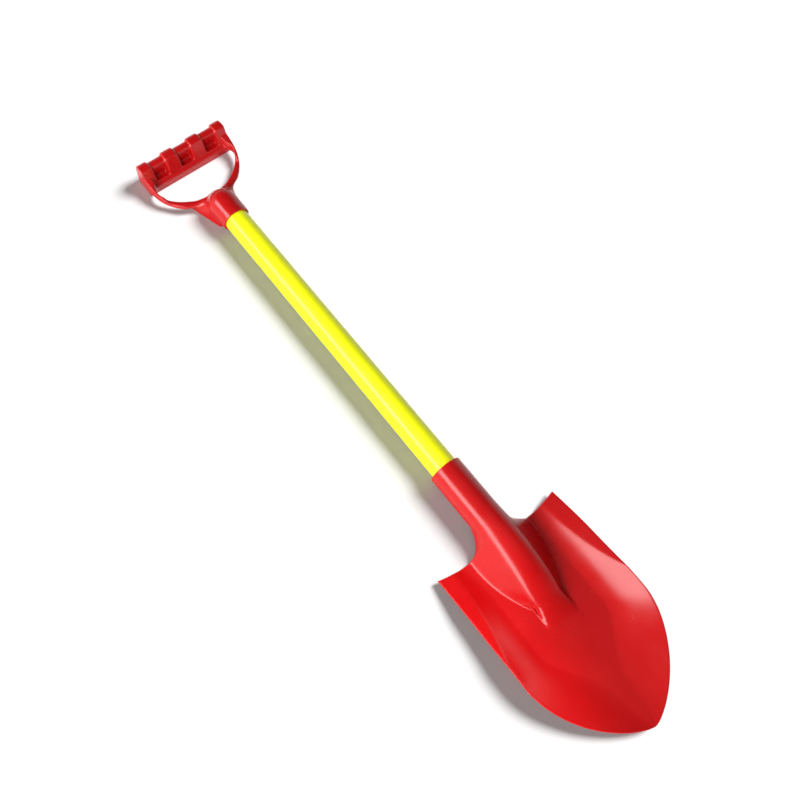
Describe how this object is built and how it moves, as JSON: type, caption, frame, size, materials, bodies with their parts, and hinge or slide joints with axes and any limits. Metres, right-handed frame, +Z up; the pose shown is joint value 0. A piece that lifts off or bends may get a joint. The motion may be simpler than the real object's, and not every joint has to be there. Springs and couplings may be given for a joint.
{
  "type": "toy sand shovel",
  "caption": "Toy sand shovel with a pointed dished blade, a straight round shaft and a ring grip whose hand bar has finger grooves.",
  "frame": {"origin": "on the ground under the middle of the shovel's length, as it lies on its back", "axes": "+X along the shaft from the grip to the blade's point, +Y across the blade, +Z up out of the blade's hollow"},
  "size_m": [0.6, 0.115, 0.0277],
  "materials": {
    "red_plastic": "glossy moulded plastic",
    "grip_plastic": "glossy moulded plastic",
    "yellow_plastic": "smooth glossy sleeve",
    "core_wood": "bare turned wood",
    "screw_steel": "zinc plated"
  },
  "bodies": {
    "root": {"blade": "red_plastic", "grip": "grip_plastic", "shaft_sleeve": "yellow_plastic", "shaft_core": "core_wood", "fixing_screws": "screw_steel"}
  },
  "joints": []
}
